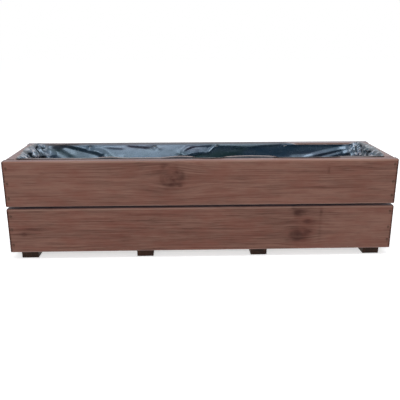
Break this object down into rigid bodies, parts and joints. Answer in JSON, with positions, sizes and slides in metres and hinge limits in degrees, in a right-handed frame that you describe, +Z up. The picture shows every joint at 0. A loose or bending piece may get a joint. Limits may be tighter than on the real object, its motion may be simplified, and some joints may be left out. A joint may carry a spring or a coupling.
{
  "type": "window box planter",
  "caption": "Long rectangular timber trough of two board tiers with a thin slot between them, on cross runners, holding a draped dark film liner.",
  "frame": {"origin": "on the ground, under the middle of the trough", "axes": "+X along the trough to the right seen from the front, front faces -Y, +Z up"},
  "size_m": [1, 0.256, 0.262],
  "materials": {
    "stained_timber": "satin reddish brown stain on planed softwood",
    "foot_timber": "dark stain on sawn softwood",
    "base_timber": "thin stain on sawn softwood",
    "liner_film": "dark polythene film with a soft shine",
    "nail_steel": "dull steel, stained over",
    "screw_steel": "yellow zinc"
  },
  "bodies": {
    "root": {"back_lower_board": "stained_timber", "back_upper_board": "stained_timber", "base_board_1": "base_timber", "base_board_2": "base_timber", "batten_screw_back_left_lower": "screw_steel", "batten_screw_back_left_upper": "screw_steel", "batten_screw_back_right_lower": "screw_steel", "batten_screw_back_right_upper": "screw_steel", "batten_screw_front_left_lower": "screw_steel", "batten_screw_front_left_upper": "screw_steel", "batten_screw_front_right_lower": "screw_steel", "batten_screw_front_right_upper": "screw_steel", "corner_batten_back_left": "base_timber", "corner_batten_back_right": "base_timber", "corner_batten_front_left": "base_timber", "corner_batten_front_right": "base_timber", "foot_runner_1": "foot_timber", "foot_runner_2": "foot_timber", "foot_runner_3": "foot_timber", "foot_runner_4": "foot_timber", "foot_screw_1_back": "screw_steel", "foot_screw_1_front": "screw_steel", "foot_screw_2_back": "screw_steel", "foot_screw_2_front": "screw_steel", "foot_screw_3_back": "screw_steel", "foot_screw_3_front": "screw_steel", "foot_screw_4_back": "screw_steel", "foot_screw_4_front": "screw_steel", "front_lower_board": "stained_timber", "front_upper_board": "stained_timber", "left_lower_end_board": "stained_timber", "left_upper_end_board": "stained_timber", "liner": "liner_film", "nail_back_left_lower_1": "nail_steel", "nail_back_left_lower_2": "nail_steel", "nail_back_left_lower_3": "nail_steel", "nail_back_left_upper_1": "nail_steel", "nail_back_left_upper_2": "nail_steel", "nail_back_left_upper_3": "nail_steel", "nail_back_right_lower_1": "nail_steel", "nail_back_right_lower_2": "nail_steel", "nail_back_right_lower_3": "nail_steel", "nail_back_right_upper_1": "nail_steel", "nail_back_right_upper_2": "nail_steel", "nail_back_right_upper_3": "nail_steel", "nail_front_left_lower_1": "nail_steel", "nail_front_left_lower_2": "nail_steel", "nail_front_left_lower_3": "nail_steel", "nail_front_left_upper_1": "nail_steel", "nail_front_left_upper_2": "nail_steel", "nail_front_left_upper_3": "nail_steel", "nail_front_right_lower_1": "nail_steel", "nail_front_right_lower_2": "nail_steel", "nail_front_right_lower_3": "nail_steel", "nail_front_right_upper_1": "nail_steel", "nail_front_right_upper_2": "nail_steel", "nail_front_right_upper_3": "nail_steel", "right_lower_end_board": "stained_timber", "right_upper_end_board": "stained_timber"}
  },
  "joints": []
}
